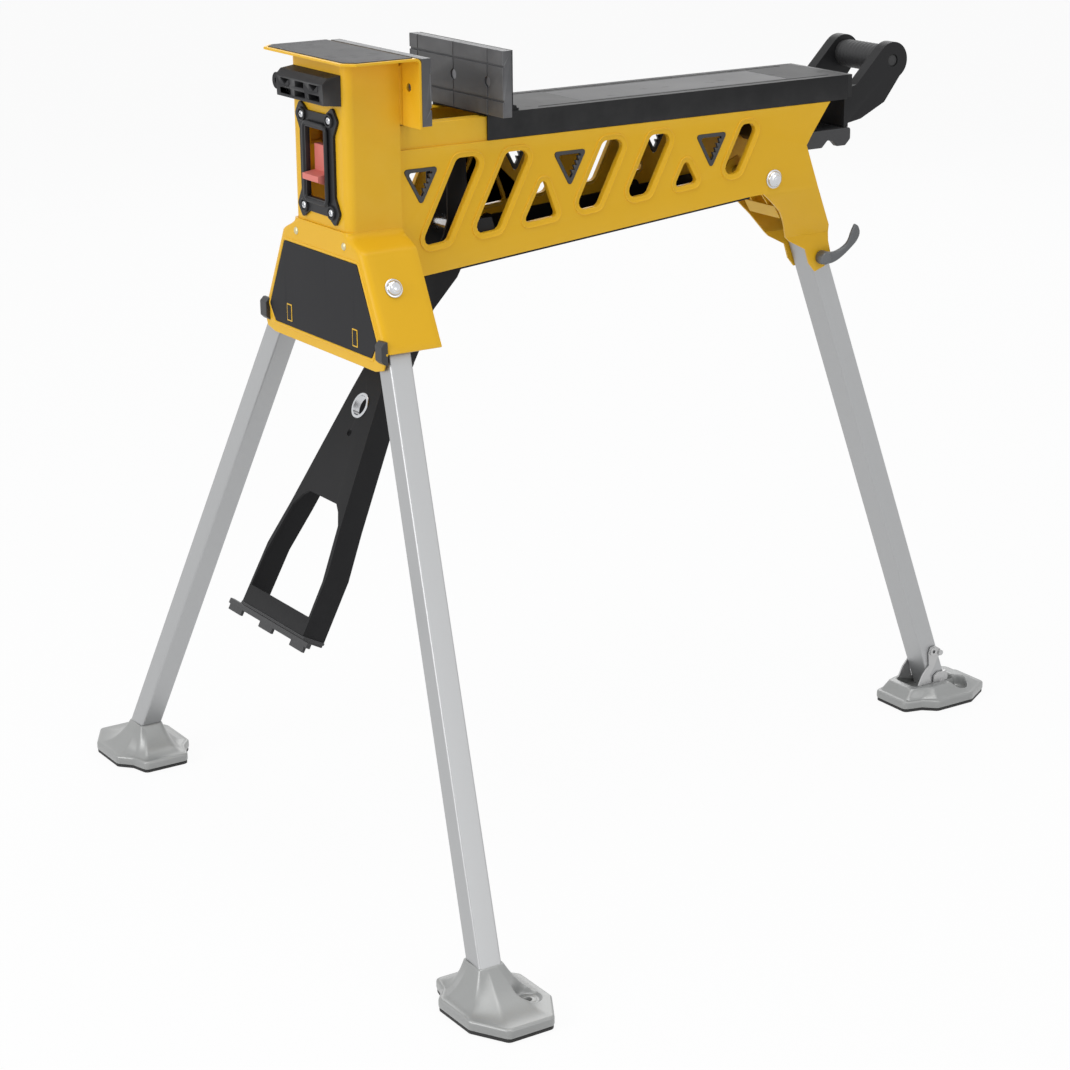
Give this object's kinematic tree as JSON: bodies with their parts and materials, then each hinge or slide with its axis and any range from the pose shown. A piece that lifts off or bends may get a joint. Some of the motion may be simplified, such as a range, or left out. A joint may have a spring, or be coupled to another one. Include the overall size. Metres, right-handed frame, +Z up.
{
  "type": "portable clamping workbench",
  "caption": "Three-legged portable workbench with a fixed jaw on a steel head and a moving jaw on a sliding channel, driven by a foot pedal.",
  "frame": {"origin": "On the floor, under the middle of the footprint of the three feet", "axes": "+X from the head and fixed jaw to the rear leg, +Z up, +Y across the bench so that XZ is the plane of symmetry"},
  "size_m": [1.027, 0.932, 0.8833],
  "materials": {
    "yellow_steel": "smooth powder coat",
    "black_steel": "satin powder coat",
    "black_plastic": "moulded satin",
    "grey_plastic": "moulded satin",
    "grip_sheet": "matt film",
    "soft_grip": "matt moulded",
    "red_plastic": "moulded",
    "aluminium": "satin extruded",
    "cast_alloy": "silver lacquer on a casting",
    "cast_grey": "satin grey",
    "zinc_steel": "zinc plated",
    "rubber_sole": "matt"
  },
  "bodies": {
    "root": {"head_shell": "yellow_steel", "head_skirt": "yellow_steel", "front_panel": "black_plastic", "top_jaw_plate": "yellow_steel", "top_sheet": "grip_sheet", "fixed_jaw_pad": "grey_plastic", "fixed_jaw_screws": "zinc_steel", "jaw_gussets": "yellow_steel", "front_block": "grey_plastic", "lever_cover": "black_plastic", "cover_screws": "zinc_steel", "skirt_rivets": "yellow_steel", "beam_plate_far": "yellow_steel", "beam_plate_near": "yellow_steel", "window_rims": "black_plastic", "top_rail": "yellow_steel", "lower_channel": "black_steel", "rear_guide_block": "black_plastic", "rear_pivot_bolt": "zinc_steel", "pedal_pivot_pin": "zinc_steel", "pedal_return_spring": "zinc_steel", "leg_inner_brackets": "yellow_steel", "hip_bolts": "zinc_steel", "clutch_housing": "black_steel", "lock_plates": "zinc_steel", "lever_pin": "zinc_steel"},
    "slide": {"slide_channel": "black_steel", "slide_inlay": "grey_plastic", "drive_bar": "zinc_steel", "moving_jaw_bracket": "black_steel", "moving_jaw_pad": "grey_plastic", "moving_jaw_screws": "zinc_steel", "rear_handle": "black_plastic", "handle_grip": "soft_grip"},
    "pedal": {"pedal_arm": "black_steel", "pedal_tread": "black_steel", "pedal_bush": "zinc_steel"},
    "carriage": {"drive_carriage": "black_steel", "drive_plates": "zinc_steel", "link_pin": "zinc_steel"},
    "lock_lever": {"lock_lever": "red_plastic"},
    "lock_rod": {"lock_rod": "zinc_steel"},
    "front_leg_near": {"front_leg_near": "aluminium", "leg_plug_near": "black_plastic", "front_foot_near": "cast_alloy", "front_sole_near": "rubber_sole"},
    "front_leg_far": {"front_leg_far": "aluminium", "leg_plug_far": "black_plastic", "front_foot_far": "cast_alloy", "front_sole_far": "rubber_sole"},
    "catch_near": {"leg_catch_near": "black_plastic"},
    "catch_far": {"leg_catch_far": "black_plastic"},
    "rear_leg": {"rear_leg_tube": "aluminium", "rear_leg_carrier": "yellow_steel", "carrier_rivets": "zinc_steel"},
    "rear_lock": {"rear_lock_lever": "cast_grey"},
    "rear_foot": {"rear_spigot": "zinc_steel", "rear_foot": "cast_alloy", "rear_sole": "rubber_sole"},
    "foot_catch": {"foot_catch": "aluminium"}
  },
  "joints": [
    {"name": "jaw_slide", "type": "slide", "parent": "root", "child": "slide", "axis": [1, 0, 0], "range_m": [-0.083, 0.34]},
    {"name": "pedal_swing", "type": "hinge", "parent": "root", "child": "pedal", "pos_m": [-0.2625, 0, 0.692], "axis": [0, -1, 0], "range_deg": [0, 16], "stiffness_Nm_per_rad": 8, "springref_deg": -22.92},
    {"name": "drive_stroke", "type": "slide", "parent": "root", "child": "carriage", "axis": [-1, 0, 0], "range_m": [0, 0.026]},
    {"name": "lock_lever_tilt", "type": "hinge", "parent": "root", "child": "lock_lever", "pos_m": [-0.3925, 0, 0.777], "axis": [0, 1, 0], "range_deg": [0, 24]},
    {"name": "lock_rod_shift", "type": "slide", "parent": "root", "child": "lock_rod", "axis": [1, 0, 0], "range_m": [0, 0.00503]},
    {"name": "front_leg_far_fold", "type": "hinge", "parent": "root", "child": "front_leg_far", "pos_m": [-0.3887, 0.0846, 0.648], "axis": [0, -0.8964, -0.4432], "range_deg": [0, 92]},
    {"name": "front_leg_near_fold", "type": "hinge", "parent": "root", "child": "front_leg_near", "pos_m": [-0.3887, -0.0846, 0.648], "axis": [0, -0.8964, 0.4432], "range_deg": [0, 92]},
    {"name": "leg_catch_far_press", "type": "slide", "parent": "root", "child": "catch_far", "axis": [1, 0, 0], "range_m": [0, 0.0022], "stiffness_N_per_m": 1000, "springref_m": -0.002},
    {"name": "leg_catch_near_press", "type": "slide", "parent": "root", "child": "catch_near", "axis": [1, 0, 0], "range_m": [0, 0.0022], "stiffness_N_per_m": 1000, "springref_m": -0.002},
    {"name": "rear_leg_fold", "type": "hinge", "parent": "root", "child": "rear_leg", "pos_m": [0.1325, 0, 0.706], "axis": [0, 1, 0], "range_deg": [0, 55]},
    {"name": "rear_lock_turn", "type": "hinge", "parent": "root", "child": "rear_lock", "pos_m": [0.2311, -0.02, 0.5996], "axis": [0, -1, 0], "range_deg": [0, 40]},
    {"name": "rear_foot_extend", "type": "slide", "parent": "rear_leg", "child": "rear_foot", "axis": [0.3466, 0, -0.938], "range_m": [0, 0.03]},
    {"name": "foot_catch_turn", "type": "hinge", "parent": "rear_foot", "child": "foot_catch", "pos_m": [0.44853, 0, 0.02401], "axis": [0, 1, 0], "range_deg": [0, 40]}
  ],
  "couplings": [
    {"joint": "drive_stroke", "follows": "pedal_swing", "m_per_rad": 0.0885},
    {"joint": "lock_rod_shift", "follows": "lock_lever_tilt", "m_per_rad": 0.012}
  ]
}
